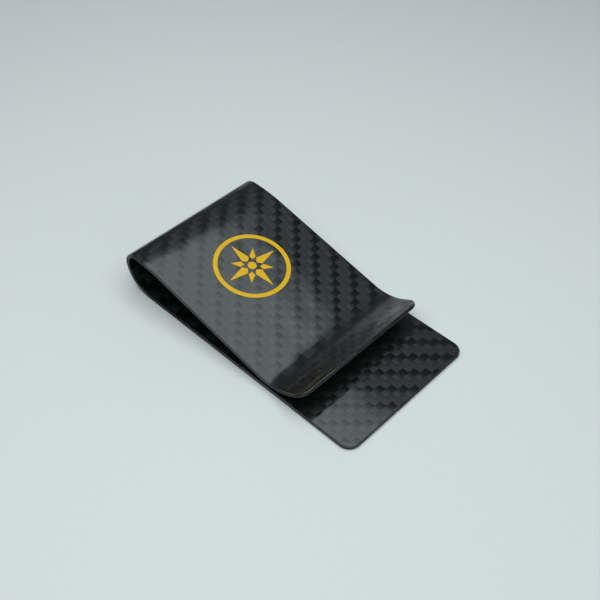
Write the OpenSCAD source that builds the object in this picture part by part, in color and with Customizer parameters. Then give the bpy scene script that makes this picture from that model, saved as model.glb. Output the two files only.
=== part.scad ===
// Spring money clip: one strip of carbon laminate, moulded into a long flat lower arm,
// a teardrop bend and a sloping upper arm that pinches down and ends in a flared lip.
//
// Seen from the side, the middle of the strip is a chain of runs, each an arc or a
// straight, followed from the tip of the lower arm round the bend to the end of the lip.
// Every layer of the laminate is the same chain at its own depth below the outer face.
//
// +X runs from the bend to the tip, +Y across the clip and +Z up. The origin is on the
// surface that the clip lies on, under the middle of its outline.

/* [Strip] */
// Width across the clip
strip_w = 40; // [34:0.5:46]
// Length from the back of the bend to the tip of the lower arm
clip_l = 73.4; // [68:0.1:80]
// Radius of the rounded corners at the tip and at the lip, seen from above
corner_r = 3; // [1:0.5:5]

/* [Laminate] */
// Thickness of the clear coat on each face
coat_t = 0.1; // [0.05:0.01:0.15]
// Thickness of one carbon ply
ply_t = 0.2; // [0.15:0.01:0.25]

/* [Side view] */
// Radius of the lower half of the bend
lower_bend_r = 7; // [6:0.1:8]
// Radius of the upper half of the bend
upper_bend_r = 3.5; // [3:0.1:4]
// Radius of the shoulder, where the upper arm leaves the bend
shoulder_r = 43; // [35:1:50]
// Slope of the flat panel of the upper arm, in degrees
panel_slope = 13; // [12:0.1:15]
// Radius of the pinch, where the upper arm levels out
pinch_r = 12; // [8:1:45]
// Gap between the arms at the pinch, with nothing in the clip
pinch_gap = 0.7; // [0.5:0.1:1.4]
// Radius of the curve that turns the lip upwards
lip_r = 13; // [10:0.5:18]
// Slope of the lip at its end, in degrees
lip_slope = 31; // [24:0.5:34]
// Length of the straight end of the lip
lip_l = 5; // [2:0.1:5.5]

/* [Emblem] */
// Diameter of the printed ring
emblem_d = 19; // [15:0.5:19]
// Distance from the back of the bend to the middle of the ring
emblem_x = 23.5; // [23.5:0.1:27]
// Width of the printed ring
ring_w = 1.1; // [0.8:0.1:1.5]
// Distance from the middle to the tip of a long point of the compass star
long_point_r = 7.5; // [6:0.1:8]
// Distance from the middle to the tip of a short point of the compass star
short_point_r = 5.2; // [4:0.1:6]
// Diameter of the dot in the middle
dot_d = 2.2; // [1.5:0.1:2.4]
// Thickness of the gold print
print_t = 0.06; // [0.04:0.01:0.1]

/* [Hidden] */

// Depths of the layers below the outer face. Layer k lies from depth[k] to depth[k + 1].
depth = [
    0,
    coat_t,
    coat_t + ply_t,
    coat_t + 2 * ply_t,
    coat_t + 3 * ply_t,
    coat_t + 4 * ply_t,
    2 * coat_t + 4 * ply_t
];
OUTER_COAT = 0;
OUTER_TWILL = 1;
OUTER_CORE = 2;
INNER_CORE = 3;
INNER_TWILL = 4;
INNER_COAT = 5;
strip_t = depth[6];
half_t = strip_t / 2;

// The panel is as long as it takes to come down from the top of the bend to the pinch.
top_z = half_t + lower_bend_r + upper_bend_r;
pinch_z = strip_t + pinch_gap + half_t;
curve_drop = (shoulder_r + pinch_r) * (1 - cos(panel_slope));
panel_l = (top_z - pinch_z - curve_drop) / sin(panel_slope);
lower_l = clip_l - half_t - lower_bend_r;

// One run of the chain is [radius, turn] for an arc and [length, 0] for a straight.
// A minus turn bends round the inside of the clip, a plus turn bends away from it.
runs = [
    [lower_l, 0],
    [lower_bend_r, -45],
    [lower_bend_r, -45],
    [upper_bend_r, -45],
    [upper_bend_r, -45],
    [shoulder_r, -panel_slope],
    [panel_l, 0],
    [pinch_r, panel_slope],
    [lip_r, lip_slope],
    [lip_l, 0]
];
PANEL_RUN = 6;
// The most that one flat of an arc turns, in degrees
flat_angle = 2.5;

// The three bodies share the chain: [first run, last run].
LOWER_ARM = [0, 1];
BEND = [2, 3];
UPPER_ARM = [4, 9];

// Where a run ends, as [x, z, heading], from where it starts
function run_end(start, run) =
    let (h = start[2], size = run[0], turn = run[1], side = sign(turn))
    turn == 0
        ? [start[0] + size * cos(h), start[1] + size * sin(h), h]
        : [
            start[0] - side * size * (sin(h) - sin(h + turn)),
            start[1] + side * size * (cos(h) - cos(h + turn)),
            h + turn
        ];

// Where run i starts. The chain begins at the tip, heading back towards the bend.
function run_start(i) =
    i == 0 ? [clip_l / 2, half_t, 180] : run_end(run_start(i - 1), runs[i - 1]);

// How many flats stand for run i
function flats(i) = max(1, ceil(abs(runs[i][1]) / flat_angle));

// Where the chain is at flat j of run i
function on_run(i, j) =
    let (part = j / flats(i), size = runs[i][0], turn = runs[i][1])
    j == 0
        ? run_start(i)
        : run_end(run_start(i), turn == 0 ? [part * size, 0] : [size, part * turn]);

// The point at a depth below the outer face, square to the chain
function at_depth(place, d) = [
    place[0] - (half_t - d) * sin(place[2]),
    place[1] + (half_t - d) * cos(place[2])
];

// The line that one body follows at a depth, from its first run to its last
function depth_line(body, d) = [
    for (i = [body[0]:body[1]])
        for (j = [(i == body[0] ? 0 : 1):flats(i)])
            at_depth(on_run(i, j), d)
];

function backwards(list) = [for (i = [len(list) - 1:-1:0]) list[i]];

// What lies outside the two rounded corners of an end that is at x and faces +X
module corner_waste(x) {
    tall = 2 * top_z;
    for (side = [0, 1])
        mirror([0, side, 0])
            translate([x - corner_r, strip_w / 2 - corner_r, -half_t])
                difference() {
                    cube([2 * corner_r, 2 * corner_r, tall]);
                    translate([0, 0, -half_t])
                        cylinder(r = corner_r, h = tall + strip_t, $fn = 96);
                }
}

// One layer of one body, with its free end rounded at the corners
module layer(body, k) {
    outline = concat(depth_line(body, depth[k]), backwards(depth_line(body, depth[k + 1])));
    difference() {
        rotate([90, 0, 0])
            linear_extrude(strip_w, center = true)
                polygon(outline);
        if (body == LOWER_ARM)
            corner_waste(clip_l / 2);
        if (body == UPPER_ARM)
            corner_waste(run_start(len(runs))[0]);
    }
}

module lower_arm_outer_coat() color("#15171a") layer(LOWER_ARM, OUTER_COAT);
module lower_arm_outer_twill() color("#24272b") layer(LOWER_ARM, OUTER_TWILL);
module lower_arm_outer_core() color("#1c1e20") layer(LOWER_ARM, OUTER_CORE);
module lower_arm_inner_core() color("#1c1e20") layer(LOWER_ARM, INNER_CORE);
module lower_arm_inner_twill() color("#24272b") layer(LOWER_ARM, INNER_TWILL);
module lower_arm_inner_coat() color("#15171a") layer(LOWER_ARM, INNER_COAT);

module bend_outer_coat() color("#15171a") layer(BEND, OUTER_COAT);
module bend_outer_twill() color("#24272b") layer(BEND, OUTER_TWILL);
module bend_outer_core() color("#1c1e20") layer(BEND, OUTER_CORE);
module bend_inner_core() color("#1c1e20") layer(BEND, INNER_CORE);
module bend_inner_twill() color("#24272b") layer(BEND, INNER_TWILL);
module bend_inner_coat() color("#15171a") layer(BEND, INNER_COAT);

module upper_arm_outer_coat() color("#15171a") layer(UPPER_ARM, OUTER_COAT);
module upper_arm_outer_twill() color("#24272b") layer(UPPER_ARM, OUTER_TWILL);
module upper_arm_outer_core() color("#1c1e20") layer(UPPER_ARM, OUTER_CORE);
module upper_arm_inner_core() color("#1c1e20") layer(UPPER_ARM, INNER_CORE);
module upper_arm_inner_twill() color("#24272b") layer(UPPER_ARM, INNER_TWILL);
module upper_arm_inner_coat() color("#15171a") layer(UPPER_ARM, INNER_COAT);

// Places a flat print on the outer face of the panel, centred on the emblem
module on_panel() {
    panel = run_start(PANEL_RUN);
    along = (emblem_x - clip_l / 2 - panel[0] - half_t * sin(panel_slope)) / cos(panel_slope);
    translate([panel[0], 0, panel[1]])
        rotate([0, panel_slope, 0])
            translate([along, 0, half_t])
                linear_extrude(print_t)
                    children();
}

// Four points of a compass star, from near the middle out to tip_r
module four_points(tip_r, base_r, waist_r, half_w)
    for (a = [0:90:270])
        rotate(a)
            polygon([[base_r, 0], [waist_r, half_w], [tip_r, 0], [waist_r, -half_w]]);

module emblem_ring() color("#c9a227") on_panel()
    difference() {
        circle(d = emblem_d, $fn = 180);
        circle(d = emblem_d - 2 * ring_w, $fn = 180);
    }

module emblem_long_points() color("#c9a227") on_panel()
    four_points(long_point_r, dot_d / 2 + 0.4, dot_d / 2 + 1.3, 1.1);

module emblem_short_points() color("#c9a227") on_panel()
    rotate(45) four_points(short_point_r, dot_d / 2 + 0.8, dot_d / 2 + 1.7, 0.8);

module emblem_dot() color("#c9a227") on_panel()
    circle(d = dot_d, $fn = 60);

lower_arm_outer_coat();
lower_arm_outer_twill();
lower_arm_outer_core();
lower_arm_inner_core();
lower_arm_inner_twill();
lower_arm_inner_coat();
bend_outer_coat();
bend_outer_twill();
bend_outer_core();
bend_inner_core();
bend_inner_twill();
bend_inner_coat();
upper_arm_outer_coat();
upper_arm_outer_twill();
upper_arm_outer_core();
upper_arm_inner_core();
upper_arm_inner_twill();
upper_arm_inner_coat();
emblem_ring();
emblem_long_points();
emblem_short_points();
emblem_dot();
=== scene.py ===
"""The looks of a carbon fibre money clip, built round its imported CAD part.

The clip is one strip of laminate, so its plies are modelled as long strips that bend smoothly
across the two flex hinges. Everything is worked out in the flat pattern of the strip, in
millimetres: u runs along it from the back of the bend, y across it, and depth goes down from
the outer face. follow() then lays the pattern along the side view of the clip.
"""

import math

import bmesh
import bpy
import numpy as np
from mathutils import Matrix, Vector


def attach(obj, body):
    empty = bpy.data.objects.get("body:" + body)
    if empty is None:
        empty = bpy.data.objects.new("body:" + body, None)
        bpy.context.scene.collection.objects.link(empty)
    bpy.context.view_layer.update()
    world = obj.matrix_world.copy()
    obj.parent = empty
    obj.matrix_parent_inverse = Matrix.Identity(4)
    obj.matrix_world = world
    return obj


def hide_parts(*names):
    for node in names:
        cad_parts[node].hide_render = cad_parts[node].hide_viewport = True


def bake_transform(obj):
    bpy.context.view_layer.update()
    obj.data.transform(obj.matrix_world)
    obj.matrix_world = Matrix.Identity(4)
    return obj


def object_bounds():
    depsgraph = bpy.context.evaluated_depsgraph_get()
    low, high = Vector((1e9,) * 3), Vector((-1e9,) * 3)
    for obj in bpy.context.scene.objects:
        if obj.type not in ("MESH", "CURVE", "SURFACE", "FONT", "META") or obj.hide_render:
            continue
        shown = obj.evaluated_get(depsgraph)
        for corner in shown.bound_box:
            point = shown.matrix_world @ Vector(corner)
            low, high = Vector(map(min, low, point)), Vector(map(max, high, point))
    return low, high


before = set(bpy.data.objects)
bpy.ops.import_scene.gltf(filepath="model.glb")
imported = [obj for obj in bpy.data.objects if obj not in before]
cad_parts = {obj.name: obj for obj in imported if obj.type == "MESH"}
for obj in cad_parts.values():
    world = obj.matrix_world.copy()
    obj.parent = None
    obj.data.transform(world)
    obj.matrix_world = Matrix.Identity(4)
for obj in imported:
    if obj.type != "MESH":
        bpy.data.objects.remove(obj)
cad_low, cad_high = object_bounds()

MM = 0.001

# ---------------------------------------------------------------- sizes, in millimetres

CLIP_L = (cad_high.x - cad_low.x) / MM
STRIP_W = (cad_high.y - cad_low.y) / MM
CORNER_R = 3
STRIP_T = 1.0
HALF_T = STRIP_T / 2
SKIN_T = 0.3
LOWER_BEND_R = 7
UPPER_BEND_R = 3.5
SHOULDER_R = 43
PANEL_SLOPE = 13
PINCH_R = 12
PINCH_GAP = 0.7
LIP_R = 13
LIP_SLOPE = 31
LIP_L = 5

EMBLEM_D = 19
EMBLEM_X = 23.5
RING_W = 1.1
LONG_POINT_R = 7.5
SHORT_POINT_R = 5.2
DOT_D = 2.2
PRINT_T = 0.06

# ---------------------------------------------------------------- the side view


def run_end(place, run):
    """Where a run ends, as (x, z, heading), from where it starts."""
    x, z, heading = place
    size, turn = run
    turned = heading + math.radians(turn)
    if turn == 0:
        return x + size * math.cos(heading), z + size * math.sin(heading), heading
    side = math.copysign(1, turn)
    return (
        x - side * size * (math.sin(heading) - math.sin(turned)),
        z + side * size * (math.cos(heading) - math.cos(turned)),
        turned,
    )


def run_length(run):
    size, turn = run
    return size if turn == 0 else size * math.radians(abs(turn))


TOP_Z = HALF_T + LOWER_BEND_R + UPPER_BEND_R
PINCH_Z = STRIP_T + PINCH_GAP + HALF_T
SLOPE = math.radians(PANEL_SLOPE)
CURVE_DROP = (SHOULDER_R + PINCH_R) * (1 - math.cos(SLOPE))
PANEL_L = (TOP_Z - PINCH_Z - CURVE_DROP) / math.sin(SLOPE)

# (length, 0) is a straight and (radius, turn) an arc, from the tip of the lower arm to the lip.
LOWER_RUNS = [(CLIP_L - HALF_T - LOWER_BEND_R, 0), (LOWER_BEND_R, -90)]
UPPER_RUNS = [
    (UPPER_BEND_R, -90),
    (SHOULDER_R, -PANEL_SLOPE),
    (PANEL_L, 0),
    (PINCH_R, PANEL_SLOPE),
    (LIP_R, LIP_SLOPE),
    (LIP_L, 0),
]
PANEL_RUN = 2
TIP = (CLIP_L / 2, HALF_T, math.pi)

LOWER_LENGTH = sum(run_length(run) for run in LOWER_RUNS)
UPPER_LENGTH = sum(run_length(run) for run in UPPER_RUNS)


def place_at(u):
    """The middle of the strip at u, as (x, z, heading). u is negative on the lower arm."""
    left, place = u + LOWER_LENGTH, TIP
    for size, turn in LOWER_RUNS + UPPER_RUNS:
        length = run_length((size, turn))
        if left <= length:
            part = left / length
            return run_end(place, (part * size, 0) if turn == 0 else (size, part * turn))
        left -= length
        place = run_end(place, (size, turn))
    return run_end(place, (left, 0))


def follow(u, y, depth):
    """A point of the flat pattern, laid along the side view, in metres."""
    x, z, heading = place_at(u)
    out = HALF_T - depth
    return Vector((x - out * math.sin(heading), y, z + out * math.cos(heading))) * MM


# The longest step along a straight, the most that one step turns in degrees, and the
# shortest step that is worth having
LONG_STEP = 1.0
ARC_STEP = 2.0
SMALL_STEP = 0.05


def stations(runs, end):
    """Distances from 0 to end along runs: closer together where the strip is bent."""
    found, u = [], 0
    for run in runs:
        length = run_length(run)
        parts = max(round(length / LONG_STEP), round(abs(run[1]) / ARC_STEP), 1)
        found += [u + length * k / parts for k in range(parts)]
        u += length
    return [k for k in found if k < end - SMALL_STEP] + [end]


# ---------------------------------------------------------------- the edge of each ply

# The face of a skin sinks by ROLL_DROP over ROLL_W, then a fillet takes it round to the side.
ROLL_W = 1.45
ROLL_DROP = 0.05
ROLL_STEPS = 8
FILLET_W = 0.24
FILLET_STEPS = 7
# A core ply stands this far inside the skins, and its corners are eased by CORE_ROUND.
CORE_RELIEF = 0.012
CORE_ROUND = 0.03


def rolled_edge(side):
    """The edge of a skin, as (inset, depth) from its resin-rich face down to its side."""
    profile = []
    for k in range(ROLL_STEPS + 1):
        part = k / ROLL_STEPS
        inset = ROLL_W + (FILLET_W - ROLL_W) * part
        profile.append((inset, ROLL_DROP * (1 - math.cos(math.pi * part / 2))))
    for k in range(1, FILLET_STEPS + 1):
        angle = math.pi / 2 * k / FILLET_STEPS
        drop = ROLL_DROP + (SKIN_T - ROLL_DROP) * math.sin(angle)
        profile.append((FILLET_W * math.cos(angle), drop))
    # the side stops short of the core, and its corner there is eased
    profile[-1] = (0, SKIN_T - CORE_ROUND)
    profile.append((CORE_ROUND, SKIN_T))
    if side == "outer":
        return profile
    return [(inset, STRIP_T - depth) for inset, depth in reversed(profile)]


def core_edge(top, bottom):
    """The edge of a core ply, as (inset, depth)."""
    near, far = CORE_RELIEF, CORE_RELIEF + CORE_ROUND
    return [(far, top), (near, top + CORE_ROUND), (near, bottom - CORE_ROUND), (far, bottom)]


# ---------------------------------------------------------------- one ply as a closed mesh

ROWS_ACROSS = 40
CORNER_STEPS = 14
WAVE_DEPTH = 0.012
SHARP_ANGLE = 40


def outline(side_stations, end, inset):
    """A loop of (u, y) round a zone at an inset: up one side, round the free end and back."""
    toward = math.copysign(1, end)
    corner_u = end - toward * CORNER_R
    side_y = STRIP_W / 2 - inset
    radius = CORNER_R - inset
    half = [(u, -side_y) for u in side_stations]
    for k in range(CORNER_STEPS + 1):
        angle = math.pi / 2 * k / CORNER_STEPS
        half.append(
            (
                corner_u + toward * radius * math.sin(angle),
                -(STRIP_W / 2 - CORNER_R) - radius * math.cos(angle),
            )
        )
    last_u, last_y = half[-1]
    across = [(last_u, last_y + 2 * -last_y * k / ROWS_ACROSS) for k in range(1, ROWS_ACROSS)]
    return half + across + [(u, -y) for u, y in reversed(half)]


def wave(u, y):
    """How far the face of the clear coat sinks at a place: a shallow unevenness, made of one
    set of waves about 20 mm long and one about 9 mm long."""
    slow = math.sin(0.33 * u + 0.9 * math.sin(0.21 * y)) * math.sin(0.24 * y + 0.7)
    quick = math.sin(0.71 * u + 0.43 * y + 1.3) * math.sin(0.52 * y - 0.37 * u)
    return WAVE_DEPTH * (0.5 + 0.3 * slow + 0.2 * quick)


def face_depth(u, y, inset, depth):
    """The depth of a point of a skin's face, with the unevenness faded out at the edge."""
    fade = min(1, inset / ROLL_W)
    if depth < SKIN_T - CORE_ROUND:
        return depth + fade * wave(u, y) * (1 - depth / SKIN_T)
    if depth > STRIP_T - SKIN_T + CORE_ROUND:
        return depth - fade * wave(u, y) * (1 - (STRIP_T - depth) / SKIN_T)
    return depth


def ply(name, runs, end, profile):
    """A strip of one ply, from the back of the bend at u = 0 to its free end."""
    toward = math.copysign(1, end)
    outwards = runs if toward > 0 else runs[::-1]
    side = [toward * u for u in stations(outwards, abs(end) - CORNER_R)][1:-1]
    side = [0, toward * SMALL_STEP] + side
    loops = [outline(side, end, inset) for inset, _ in profile]
    count = len(loops[0])
    # a loop is one side, the points across the free end, and the other side
    one_side = (count - (ROWS_ACROSS - 1)) // 2

    points, insets = [], []
    for loop, (inset, depth) in zip(loops, profile):
        points += [(u, y, face_depth(u, y, inset, depth)) for u, y in loop]
        insets += [inset] * count
    faces = []
    for row in range(len(profile) - 1):
        for k in range(count - 1):
            a, b = row * count + k, row * count + k + 1
            faces.append((a, b, b + count, a + count))

    def fill(row, flip):
        """Covers the inside of a loop with rows of quads, and returns the row at the bend."""
        inset, depth = profile[row]
        first = row * count
        grid = []
        for k in range(one_side):
            u, y = loops[row][k]
            line = [first + k]
            for m in range(1, ROWS_ACROSS):
                cross = y - 2 * y * m / ROWS_ACROSS
                line.append(len(points))
                from_edge = min(STRIP_W / 2 - abs(cross), abs(end - u))
                points.append((u, cross, face_depth(u, cross, max(inset, from_edge), depth)))
                insets.append(max(inset, from_edge))
            line.append(first + count - 1 - k)
            grid.append(line)
        # the last line is the part of the loop that runs across the free end
        grid[-1] = [first + one_side - 1 + m for m in range(ROWS_ACROSS + 1)]
        for near, far in zip(grid, grid[1:]):
            for m in range(ROWS_ACROSS):
                quad = (near[m], near[m + 1], far[m + 1], far[m])
                faces.append(quad if flip else quad[::-1])
        return grid[0]

    top_row = fill(0, True)
    bottom_row = fill(len(profile) - 1, False)
    # one face closes the ply at the back of the bend
    left = [row * count for row in range(1, len(profile) - 1)]
    right = [row * count + count - 1 for row in range(1, len(profile) - 1)]
    faces.append(tuple(top_row[::-1] + left + bottom_row + right[::-1]))

    mesh = bpy.data.meshes.new(name)
    mesh.from_pydata([follow(*p) for p in points], [], faces)
    keep_pattern(mesh, [(u, y, inset) for (u, y, _), inset in zip(points, insets)])
    return finished(name, mesh)


def keep_pattern(mesh, rows):
    """Keeps (u, y, inset) at each point, which the weave is worked out from."""
    attribute = mesh.attributes.new("pattern", "FLOAT_VECTOR", "POINT")
    attribute.data.foreach_set("vector", np.array(rows, np.float32).ravel())


def finished(name, mesh):
    """An object of a mesh, with its unused points dropped, its faces turned outwards, and
    smooth shading up to its sharp edges."""
    work = bmesh.new()
    work.from_mesh(mesh)
    loose = [v for v in work.verts if not v.link_faces]
    bmesh.ops.delete(work, geom=loose, context="VERTS")
    bmesh.ops.recalc_face_normals(work, faces=work.faces)
    work.to_mesh(mesh)
    work.free()
    mesh.shade_smooth()
    mesh.set_sharp_from_angle(angle=math.radians(SHARP_ANGLE))
    piece = bpy.data.objects.new(name, mesh)
    bpy.context.scene.collection.objects.link(piece)
    return piece


# ---------------------------------------------------------------- the gold print


def panel_point(along, across, height):
    """A point of the print: along and across the panel from the emblem's middle."""
    return follow(EMBLEM_U + along, across, wave(EMBLEM_U + along, across) - height)


def emblem_u():
    """How far along the strip the emblem's middle is. Its x is EMBLEM_X from the bend's back."""
    before = sum(run_length(run) for run in UPPER_RUNS[:PANEL_RUN])
    x = place_at(before)[0]
    return before + (EMBLEM_X - CLIP_L / 2 - x - HALF_T * math.sin(SLOPE)) / math.cos(SLOPE)


EMBLEM_U = emblem_u()
# The foot of the ink is sunk into the coat. Its top edge is round: EASE_W across, EASE_H high.
SUNK = 0.02
EASE_W = 0.1
EASE_H = 0.04
EASE_STEPS = 5
INK_CORNER_R = 0.06
# A point of the star: how far outside the dot its base and its widest place are, and half of
# its width there
LONG_POINT = (0.4, 1.3, 1.1)
SHORT_POINT = (0.8, 1.7, 0.8)
RING_STEPS = 240
DOT_STEPS = 64
INK_CORNER_STEPS = 4


def ink_profile():
    """The section of a printed line's edge, as (inset, height), from its foot to its top."""
    section = [(0, -SUNK), (0, PRINT_T - EASE_H)]
    for k in range(1, EASE_STEPS + 1):
        angle = math.pi / 2 * k / EASE_STEPS
        rise = EASE_H * math.sin(angle)
        section.append((EASE_W * (1 - math.cos(angle)), PRINT_T - EASE_H + rise))
    return section


def print_from(name, shapes):
    """A print made of shapes. Each is a list of loops of (along, across, height), and whether
    its first and last loops are closed with a face rather than joined to each other."""
    points, faces = [], []
    for loops, closed in shapes:
        count, first = len(loops[0]), len(points)
        for loop in loops:
            points += [panel_point(*p) for p in loop]
        rows = len(loops) - 1 if closed else len(loops)
        for row in range(rows):
            for k in range(count):
                a = first + row * count + k
                b = first + row * count + (k + 1) % count
                c = first + (row + 1) % len(loops) * count + (k + 1) % count
                d = first + (row + 1) % len(loops) * count + k
                faces.append((a, b, c, d))
        if closed:
            faces.append(tuple(first + k for k in range(count))[::-1])
            faces.append(tuple(first + rows * count + k for k in range(count)))
    mesh = bpy.data.meshes.new(name)
    mesh.from_pydata(points, [], faces)
    return finished(name, mesh)


def circle(radius, height, steps):
    turns = [2 * math.pi * k / steps for k in range(steps)]
    return [(radius * math.cos(a), radius * math.sin(a), height) for a in turns]


def ring_shape(outer, inner):
    section = ink_profile()
    rising = [circle(outer - inset, height, RING_STEPS) for inset, height in section]
    falling = [circle(inner + inset, height, RING_STEPS) for inset, height in section[::-1]]
    return rising + falling, False


def disc_shape(radius):
    loops = [circle(radius - inset, height, DOT_STEPS) for inset, height in ink_profile()]
    return loops, True


def rotated(arm, angle):
    """A flat vector turned by an angle."""
    cosine, sine = math.cos(angle), math.sin(angle)
    return Vector((arm.x * cosine - arm.y * sine, arm.x * sine + arm.y * cosine))


def rounded(corners, radius):
    """A closed outline with each corner of a convex shape rounded."""
    found = []
    for k, corner in enumerate(corners):
        before, here = Vector(corners[k - 1]), Vector(corner)
        after = Vector(corners[(k + 1) % len(corners)])
        into, out = (here - before).normalized(), (after - here).normalized()
        turn = -into.angle_signed(out)
        start = here - into * radius * math.tan(abs(turn) / 2)
        inwards = Vector((-into.y, into.x)) * math.copysign(1, turn)
        middle = start + inwards * radius
        for m in range(INK_CORNER_STEPS + 1):
            found.append(middle + rotated(start - middle, turn * m / INK_CORNER_STEPS))
    return found


def point_shape(tip_r, base_gap, waist_gap, half_w, turn):
    """One kite-shaped point of the star, turned round the middle. Its sides all touch one
    circle, so an inset copy of it is a smaller copy about that circle's middle."""
    base_r, waist_r = DOT_D / 2 + base_gap, DOT_D / 2 + waist_gap
    corners = [(base_r, 0), (waist_r, half_w), (tip_r, 0), (waist_r, -half_w)]
    long_side = math.hypot(tip_r - waist_r, half_w)
    short_side = math.hypot(waist_r - base_r, half_w)
    touching_r = (tip_r - base_r) * half_w / (long_side + short_side)
    middle = Vector((tip_r - touching_r * long_side / half_w, 0))
    loops = []
    for inset, height in ink_profile():
        loop = []
        for p in rounded(corners[::-1], INK_CORNER_R):
            inner = middle + (p - middle) * (1 - inset / touching_r)
            loop.append((*rotated(inner, turn), height))
        loops.append(loop)
    return loops, True


def four_points(first_turn, *sizes):
    """Four like points a quarter turn apart."""
    return [point_shape(*sizes, math.radians(first_turn + 90 * k)) for k in range(4)]


# ---------------------------------------------------------------- materials


class Graph:
    """A material, with short names for the shader nodes that it is made of."""

    def __init__(self, name):
        self.material = bpy.data.materials.new(name)
        self.material.use_nodes = True
        self.tree = self.material.node_tree
        self.shader = self.tree.nodes["Principled BSDF"]

    def node(self, kind, values=None, **settings):
        """A new node, with its inputs and settings."""
        made = self.tree.nodes.new("ShaderNode" + kind)
        for key, value in settings.items():
            setattr(made, key, value)
        for key, value in (values or {}).items():
            self.put(made.inputs[key], value)
        return made

    def put(self, socket, value):
        """Links an output to a socket, or sets a plain value on it."""
        if isinstance(value, bpy.types.NodeSocket):
            self.tree.links.new(value, socket)
        else:
            socket.default_value = value

    def math(self, operation, *values, clamp=False):
        made = self.node("Math", operation=operation, use_clamp=clamp)
        for socket, value in zip(made.inputs, values):
            self.put(socket, value)
        return made.outputs[0]

    def between(self, value, low, high):
        """A smooth step from 0 to 1 as value goes from low to high."""
        limits = {"Value": value, "From Min": low, "From Max": high}
        return self.node("MapRange", limits, interpolation_type="SMOOTHSTEP").outputs[0]

    def colour(self, amount, low, high):
        """A colour from low where amount is 0 to high where it is 1."""
        made = self.node("Mix", data_type="RGBA")
        self.put(made.inputs["Factor"], amount)
        self.put(made.inputs["A"], low)
        self.put(made.inputs["B"], high)
        return made.outputs["Result"]

    def pick(self, amount, low, high):
        """A number from low where amount is 0 to high where it is 1."""
        made = self.node("Mix", data_type="FLOAT")
        self.put(made.inputs["Factor"], amount)
        self.put(made.inputs["A"], low)
        self.put(made.inputs["B"], high)
        return made.outputs["Result"]

    def vector(self, x, y, z):
        return self.node("CombineXYZ", {"X": x, "Y": y, "Z": z}).outputs[0]

    def noise(self, vector, scale, detail=2.0, roughness=0.5):
        made = self.node(
            "TexNoise",
            {"Vector": vector, "Scale": scale, "Detail": detail, "Roughness": roughness},
        )
        return made.outputs["Fac"]

    def bump(self, height, distance):
        return self.node("Bump", {"Height": height, "Distance": distance}).outputs[0]

    def pattern(self):
        """The flat pattern in millimetres: as one vector, and as u, y and inset."""
        attribute = self.node("Attribute", attribute_name="pattern")
        parts = self.node("SeparateXYZ", {"Vector": attribute.outputs["Vector"]})
        return attribute.outputs["Vector"], *parts.outputs


# The weave in millimetres along (U) and across (Y) the strip: the width of a tow, how far the
# tows lean for each millimetre that they run, and where the weave starts
TOW_W_U, TOW_W_Y = 1.72, 1.80
WEAVE_LEAN_U, WEAVE_LEAN_Y = 0.083, 0.026
WEAVE_SHIFT_U, WEAVE_SHIFT_Y = 4.46, 1.85
# How far the tows wander, and how much the middle of a float stands above its ends
TOW_DRIFT = 0.3
TOW_ARCH = 0.10
COAT_RELIEF = 0.02

BLACK = (0.0020, 0.0022, 0.0024, 1)
DARK_TOW = (0.0030, 0.0034, 0.0036, 1)
LIGHT_TOW = (0.0120, 0.0135, 0.0140, 1)
GOLD = (0.90, 0.47, 0.012, 1)
PALE_GOLD = (1.0, 0.57, 0.022, 1)
PAPER = (0.88, 0.86, 0.88, 1)
PALE_PAPER = (0.94, 0.92, 0.94, 1)


def weave(g, vector, u, y):
    """Where a point lies in a 2x2 twill, in which each tow floats over two others.

    Returns warp, which is 1 where a tow along u is on top and 0 where one across it is, how
    far along the float the point is, from -1 to 1, how far across it, from -0.5 to 0.5, and a
    number of the float's own."""
    drift = g.math("MULTIPLY", g.math("SUBTRACT", g.noise(vector, 0.07), 0.5), TOW_DRIFT)
    leaning_u = g.math("MULTIPLY_ADD", y, WEAVE_LEAN_U, g.math("ADD", u, drift))
    leaning_y = g.math("MULTIPLY_ADD", u, WEAVE_LEAN_Y, g.math("SUBTRACT", y, drift))
    column = g.math("DIVIDE", g.math("ADD", leaning_u, WEAVE_SHIFT_U), TOW_W_U)
    row = g.math("DIVIDE", g.math("ADD", leaning_y, WEAVE_SHIFT_Y), TOW_W_Y)
    i, j = g.math("FLOOR", column), g.math("FLOOR", row)
    in_column = g.math("SUBTRACT", g.math("SUBTRACT", column, i), 0.5)
    in_row = g.math("SUBTRACT", g.math("SUBTRACT", row, j), 0.5)

    # the crossings go by fours along a row: the first two are warp, the other two weft, and
    # every second one is the far half of a float
    step = g.math("FLOORED_MODULO", g.math("ADD", i, j), 4.0)
    warp = g.math("LESS_THAN", step, 1.5)
    weft = g.math("SUBTRACT", 1.0, warp)
    second = g.math("GREATER_THAN", g.math("FLOORED_MODULO", step, 2.0), 0.5)
    along = g.math("ADD", g.pick(warp, in_row, in_column), g.math("SUBTRACT", second, 0.5))
    across = g.pick(warp, in_column, in_row)

    float_i = g.math("SUBTRACT", i, g.math("MULTIPLY", warp, second))
    float_j = g.math("SUBTRACT", j, g.math("MULTIPLY", weft, second))
    own = g.node(
        "TexWhiteNoise", {"Vector": g.vector(float_i, float_j, warp)}, noise_dimensions="3D"
    )
    return warp, along, across, own.outputs["Value"]


def fibre_streaks(g, warp, u, y):
    """Fine streaks that run along the tow on top."""
    lengthways = g.math("MULTIPLY", g.pick(warp, y, u), 0.55)
    sideways = g.math("MULTIPLY", g.pick(warp, u, y), 9.0)
    place = g.vector(lengthways, sideways, g.math("MULTIPLY", warp, 17.0))
    return g.noise(place, 1.0, detail=3.0, roughness=0.65)


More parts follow.
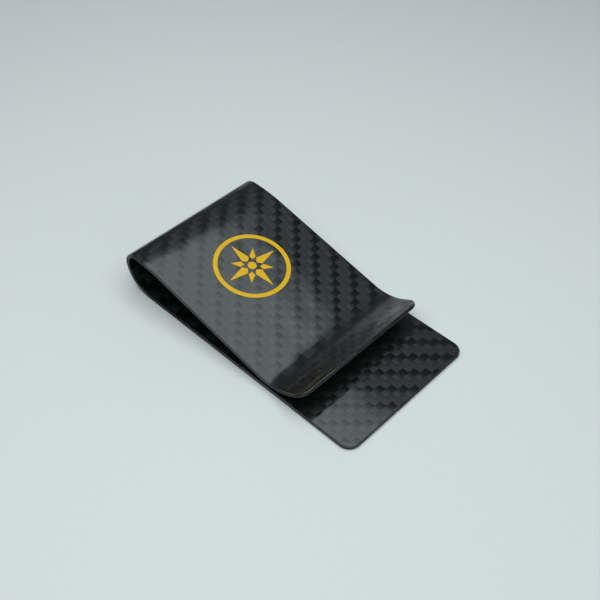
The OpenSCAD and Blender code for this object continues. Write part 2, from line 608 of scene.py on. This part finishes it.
def square_to_fibres(g, warp):
    """The direction along the surface that is square to the fibres of the tow on top."""
    across_strip = (0, 1, 0)
    along_strip = g.node("VectorMath", operation="CROSS_PRODUCT")
    along_strip.inputs[0].default_value = across_strip
    g.put(along_strip.inputs[1], g.node("NewGeometry").outputs["Normal"])
    direction = g.node("Mix", data_type="VECTOR")
    g.put(direction.inputs["Factor"], warp)
    g.put(direction.inputs["A"], along_strip.outputs[0])
    direction.inputs["B"].default_value = across_strip
    return direction.outputs["Result"]


def tow_colour(g, warp, from_end, from_middle, own, fibres, inset):
    """Tows along u are painted lighter than those across: a painted sheen for the way the light
    catches fibres that run along the strip. Each fades at its ends and sides, and all of them
    towards the edge of the strip, where the resin is thick."""
    tone_and_painted_sheen = g.math("ADD", g.math("MULTIPLY", fibres, 0.8), g.math("MULTIPLY", own, 0.25))
    # painted sheen: tows along u are made lighter, standing in for the light that their fibres
    # catch
    tone_and_painted_sheen = g.math("ADD", tone_and_painted_sheen, g.math("MULTIPLY", warp, 0.35))
    tone_and_painted_sheen = g.math("SUBTRACT", tone_and_painted_sheen, 0.40, clamp=True)
    body = g.math("SUBTRACT", 1.0, g.between(from_middle, 0.42, 0.5))
    shade = g.math("MULTIPLY", body, g.pick(g.between(from_end, 0.80, 1.0), 1.0, 0.35))
    rim = g.between(inset, 0.1, 0.9)
    tone_and_painted_sheen = g.math("MULTIPLY", g.math("MULTIPLY", tone_and_painted_sheen, shade), rim)
    tow = g.colour(tone_and_painted_sheen, DARK_TOW, LIGHT_TOW)
    return g.colour(g.math("MULTIPLY", rim, body), BLACK, tow)


def carbon_twill():
    """2x2 twill of carbon tows under a thick gloss coat."""
    g = Graph("carbon_twill")
    vector, u, y, inset = g.pattern()
    warp, along, across, own = weave(g, vector, u, y)
    from_end, from_middle = g.math("ABSOLUTE", along), g.math("ABSOLUTE", across)
    fibres = fibre_streaks(g, warp, u, y)
    g.put(
        g.shader.inputs["Base Color"],
        tow_colour(g, warp, from_end, from_middle, own, fibres, inset),
    )

    # a tow arches over the ones that it crosses, and is flat across with steep sides
    arch = g.math("MULTIPLY", g.math("POWER", from_end, 2.0), -1.0)
    side = g.math("MULTIPLY", g.math("POWER", from_middle, 6.0), -8.0)
    height = g.math("ADD", g.math("ADD", arch, side), g.math("MULTIPLY", fibres, 0.16))
    g.put(g.shader.inputs["Normal"], g.bump(height, TOW_ARCH * MM))

    # a highlight spreads across the fibres
    g.put(g.shader.inputs["Tangent"], square_to_fibres(g, warp))
    g.put(g.shader.inputs["Roughness"], g.pick(fibres, 0.24, 0.40))
    g.shader.inputs["Specular IOR Level"].default_value = 0.45
    g.shader.inputs["Anisotropic"].default_value = 0.8

    # the coat is smooth but hand finished: a slow ripple, a quick one, and a faint weave
    slow, quick = g.noise(vector, 0.09, detail=0.0), g.noise(vector, 0.28)
    ripple = g.math("MULTIPLY_ADD", slow, 8.0, quick)
    coat_height = g.math("MULTIPLY_ADD", arch, 0.03, ripple)
    g.put(g.shader.inputs["Coat Normal"], g.bump(coat_height, COAT_RELIEF * MM))
    g.shader.inputs["Coat Weight"].default_value = 1.0
    g.shader.inputs["Coat Roughness"].default_value = 0.06
    g.shader.inputs["Coat IOR"].default_value = 1.5
    return g.material


def carbon_core():
    """The cut and sealed edge of the core plies: near black, with fine streaks along it."""
    g = Graph("carbon_core")
    _, u, y, inset = g.pattern()
    scales = ((u, 0.5), (y, 0.5), (inset, 30.0))
    place = g.vector(*(g.math("MULTIPLY", value, scale) for value, scale in scales))
    streaks = g.noise(place, 1.6, detail=4.0, roughness=0.7)
    g.put(g.shader.inputs["Base Color"], g.colour(streaks, BLACK, DARK_TOW))
    g.put(g.shader.inputs["Roughness"], g.pick(streaks, 0.25, 0.5))
    g.put(g.shader.inputs["Normal"], g.bump(streaks, 0.00001))
    g.shader.inputs["Specular IOR Level"].default_value = 0.25
    g.shader.inputs["Coat Weight"].default_value = 0.25
    g.shader.inputs["Coat Roughness"].default_value = 0.12
    return g.material


def gold_print():
    """Gold ink, a little uneven, with fine flecks."""
    g = Graph("gold_print")
    place = g.node("TexCoord").outputs["Object"]
    patches = g.noise(place, 900.0, detail=3.0)
    flecks = g.noise(place, 14000.0, detail=1.0)
    tone = g.math("ADD", g.math("MULTIPLY", patches, 0.6), g.math("MULTIPLY", flecks, 0.4))
    g.put(g.shader.inputs["Base Color"], g.colour(tone, GOLD, PALE_GOLD))
    g.put(g.shader.inputs["Roughness"], g.pick(flecks, 0.42, 0.6))
    g.put(g.shader.inputs["Normal"], g.bump(tone, 0.000006))
    g.shader.inputs["Specular IOR Level"].default_value = 0.2
    return g.material


def floor_paper():
    """Pale, faintly cool paper."""
    g = Graph("floor_paper")
    place = g.node("TexCoord").outputs["Object"]
    grain = g.noise(place, 700.0, detail=3.0)
    cloud = g.noise(place, 6.0, detail=1.0)
    tone = g.math("ADD", g.math("MULTIPLY", grain, 0.5), g.math("MULTIPLY", cloud, 0.5))
    g.put(
        g.shader.inputs["Base Color"],
        g.colour(tone, PAPER, PALE_PAPER),
    )
    g.put(g.shader.inputs["Normal"], g.bump(grain, 0.00002))
    g.shader.inputs["Roughness"].default_value = 0.75
    g.shader.inputs["Specular IOR Level"].default_value = 0.25
    return g.material


# ---------------------------------------------------------------- the pieces

# For each visual layer: its edge, the CAD layers that it stands for, and its material
LAYERS = {
    "outer_skin": (rolled_edge("outer"), ("outer_coat", "outer_twill"), "carbon_twill"),
    "outer_core": (core_edge(SKIN_T, HALF_T), ("outer_core",), "carbon_core"),
    "inner_core": (core_edge(HALF_T, STRIP_T - SKIN_T), ("inner_core",), "carbon_core"),
    "inner_skin": (rolled_edge("inner"), ("inner_twill", "inner_coat"), "carbon_twill"),
}


def laminate(materials):
    """The plies, in two zones that meet at the back of the bend. Each zone turns smoothly
    from its arm's body to the body of the bend."""
    for layer, (profile, cad_layers, slot) in LAYERS.items():
        lower = ply("lower_" + layer, LOWER_RUNS, -LOWER_LENGTH, profile)
        upper = ply("upper_" + layer, UPPER_RUNS, UPPER_LENGTH, profile)
        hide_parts(*("lower_arm_" + part for part in cad_layers))
        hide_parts(*("bend_" + part for part in cad_layers))
        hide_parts(*("upper_arm_" + part for part in cad_layers))
        for zone in (lower, upper):
            zone.data.materials.append(materials[slot])
        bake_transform(lower)
        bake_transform(upper)


def emblem(material):
    """A generic compass star in a ring, printed on the panel."""
    prints = {
        "ring": [ring_shape(EMBLEM_D / 2, EMBLEM_D / 2 - RING_W)],
        "long_points": four_points(0, LONG_POINT_R, *LONG_POINT),
        "short_points": four_points(45, SHORT_POINT_R, *SHORT_POINT),
        "dot": [disc_shape(DOT_D / 2)],
    }
    for part, shapes in prints.items():
        piece = print_from("gold_" + part, shapes)
        piece.data.materials.append(material)
        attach(piece, "upper_arm")
        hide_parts("emblem_" + part)


# ---------------------------------------------------------------- floor, light and camera

# In metres from here on
FLOOR_SIZE = 2.4

# The corners of the softbox as (x, y), its height, and how it fades out at its edge
SOFTBOX_LOW = (-0.235, -0.30)
SOFTBOX_HIGH = (0.30, 0.20)
SOFTBOX_Z = 0.30
SOFTBOX_CORNER = 0.10
SOFT_EDGE = 0.05
SOFTBOX_RADIANCE = 1.65
SOFTBOX_TINT = (0.87, 1.0, 0.97)

# The room is dim all round, but for a pale backdrop on the side of PALE_AZIMUTH and beyond,
# counted in degrees from -X towards +Y. Its stops are the height of a direction, and a colour.
PALE_AZIMUTH = 33
PALE_BLUR = 0.06
DIM_SIDE = (0.05, 0.055, 0.065, 1)
BACKDROP = [
    (0.0, (0.50, 0.55, 0.57, 1)),
    (0.36, (0.46, 0.51, 0.53, 1)),
    (0.50, (0.07, 0.08, 0.10, 1)),
    (1.0, (0.05, 0.06, 0.07, 1)),
]


def floor(material):
    """A square of paper under the clip."""
    mesh = bpy.data.meshes.new("floor")
    half = FLOOR_SIZE / 2
    corners = [(-half, -half, 0), (half, -half, 0), (half, half, 0), (-half, half, 0)]
    mesh.from_pydata(corners, [], [(0, 1, 2, 3)])
    mesh.materials.append(material)
    piece = bpy.data.objects.new("floor", mesh)
    bpy.context.scene.collection.objects.link(piece)


def softbox():
    """A soft light overhead. Its far edge shows in the panel as the end of a pale veil."""
    width, depth = (high - low for low, high in zip(SOFTBOX_LOW, SOFTBOX_HIGH))
    light = bpy.data.lights.new("softbox", "AREA")
    light.shape = "RECTANGLE"
    light.size, light.size_y = width, depth
    light.energy = SOFTBOX_RADIANCE * math.pi * width * depth
    light.color = SOFTBOX_TINT
    lamp = bpy.data.objects.new("softbox", light)
    middle = [(low + high) / 2 for low, high in zip(SOFTBOX_LOW, SOFTBOX_HIGH)]
    lamp.location = (*middle, SOFTBOX_Z)
    bpy.context.scene.collection.objects.link(lamp)
    fade_out(light, width, depth)


def fade_out(light, width, depth):
    """Fades a light out towards its edge, and rounds its corners."""
    light.use_nodes = True
    tree = light.node_tree

    def step(operation, first, *others):
        node = tree.nodes.new("ShaderNodeVectorMath")
        node.operation = operation
        tree.links.new(first, node.inputs[0])
        for socket, value in zip(node.inputs[1:], others):
            socket.default_value = value
        return node.outputs["Value" if operation == "LENGTH" else "Vector"]

    core = (width / 2 - SOFTBOX_CORNER, depth / 2 - SOFTBOX_CORNER, 0)
    place = tree.nodes.new("ShaderNodeNewGeometry").outputs["Parametric"]
    place = step("MULTIPLY_ADD", place, (width, depth, 0), (-width / 2, -depth / 2, 0))
    beyond = step("MAXIMUM", step("SUBTRACT", step("ABSOLUTE", place), core), (0, 0, 0))
    fade = tree.nodes.new("ShaderNodeMapRange")
    fade.interpolation_type = "SMOOTHSTEP"
    fade.inputs["From Min"].default_value = SOFTBOX_CORNER - SOFT_EDGE
    fade.inputs["From Max"].default_value = SOFTBOX_CORNER
    fade.inputs["To Min"].default_value = 1
    fade.inputs["To Max"].default_value = 0
    tree.links.new(step("LENGTH", beyond), fade.inputs["Value"])
    tree.links.new(fade.outputs[0], tree.nodes["Emission"].inputs["Strength"])


def surroundings():
    """A dim room with a pale backdrop low down on one side, as the clip's gloss shows it."""
    world = bpy.data.worlds.new("room")
    bpy.context.scene.world = world
    world.use_nodes = True
    tree = world.node_tree
    direction = tree.nodes.new("ShaderNodeTexCoord").outputs["Generated"]
    parts = tree.nodes.new("ShaderNodeSeparateXYZ")
    tree.links.new(direction, parts.inputs[0])
    ramp = tree.nodes.new("ShaderNodeValToRGB")
    tree.links.new(parts.outputs["Z"], ramp.inputs[0])
    stops = ramp.color_ramp.elements
    while len(stops) < len(BACKDROP):
        stops.new(0.5)
    for stop, (height, colour) in zip(stops, BACKDROP):
        stop.position, stop.color = height, colour

    azimuth = math.radians(PALE_AZIMUTH)
    sideways = tree.nodes.new("ShaderNodeVectorMath")
    sideways.operation = "DOT_PRODUCT"
    tree.links.new(direction, sideways.inputs[0])
    sideways.inputs[1].default_value = (math.sin(azimuth), math.cos(azimuth), 0)
    share = tree.nodes.new("ShaderNodeMapRange")
    share.interpolation_type = "SMOOTHSTEP"
    share.inputs["From Min"].default_value = -PALE_BLUR
    share.inputs["From Max"].default_value = PALE_BLUR
    tree.links.new(sideways.outputs["Value"], share.inputs["Value"])
    mixed = tree.nodes.new("ShaderNodeMix")
    mixed.data_type = "RGBA"
    mixed.inputs["A"].default_value = DIM_SIDE
    tree.links.new(share.outputs[0], mixed.inputs["Factor"])
    tree.links.new(ramp.outputs[0], mixed.inputs["B"])
    tree.links.new(mixed.outputs["Result"], tree.nodes["Background"].inputs["Color"])


# Angles in degrees. Azimuth 0 looks along +Y, and it grows as the camera goes round to +X.
CAMERA_AZIMUTH = 43.49
CAMERA_ELEVATION = 45.86
CAMERA_DISTANCE = 0.2212
CAMERA_TARGET = Vector((-2.3, 5.4, 0)) * MM
CAMERA_ROLL = 0.56
CAMERA_LENS = 54.14
SENSOR_WIDTH = 36
CAMERA_CLIP = (0.005, 10)


def camera():
    """The camera, which looks down on the clip over its near corner."""
    azimuth, elevation = math.radians(CAMERA_AZIMUTH), math.radians(CAMERA_ELEVATION)
    back = Vector(
        (
            math.sin(azimuth) * math.cos(elevation),
            -math.cos(azimuth) * math.cos(elevation),
            math.sin(elevation),
        )
    )
    data = bpy.data.cameras.new("camera")
    data.lens, data.sensor_width = CAMERA_LENS, SENSOR_WIDTH
    data.clip_start, data.clip_end = CAMERA_CLIP
    seen_from = bpy.data.objects.new("camera", data)
    seen_from.location = CAMERA_TARGET + back * CAMERA_DISTANCE
    facing = (-back).to_track_quat("-Z", "Y").to_euler()
    facing.rotate_axis("Z", math.radians(CAMERA_ROLL))
    seen_from.rotation_euler = facing
    bpy.context.scene.collection.objects.link(seen_from)
    bpy.context.scene.camera = seen_from


# ---------------------------------------------------------------- all together

made = {"carbon_twill": carbon_twill(), "carbon_core": carbon_core()}
laminate(made)
emblem(gold_print())
floor(floor_paper())
softbox()
surroundings()
camera()
bpy.context.scene.view_settings.view_transform = "Standard"
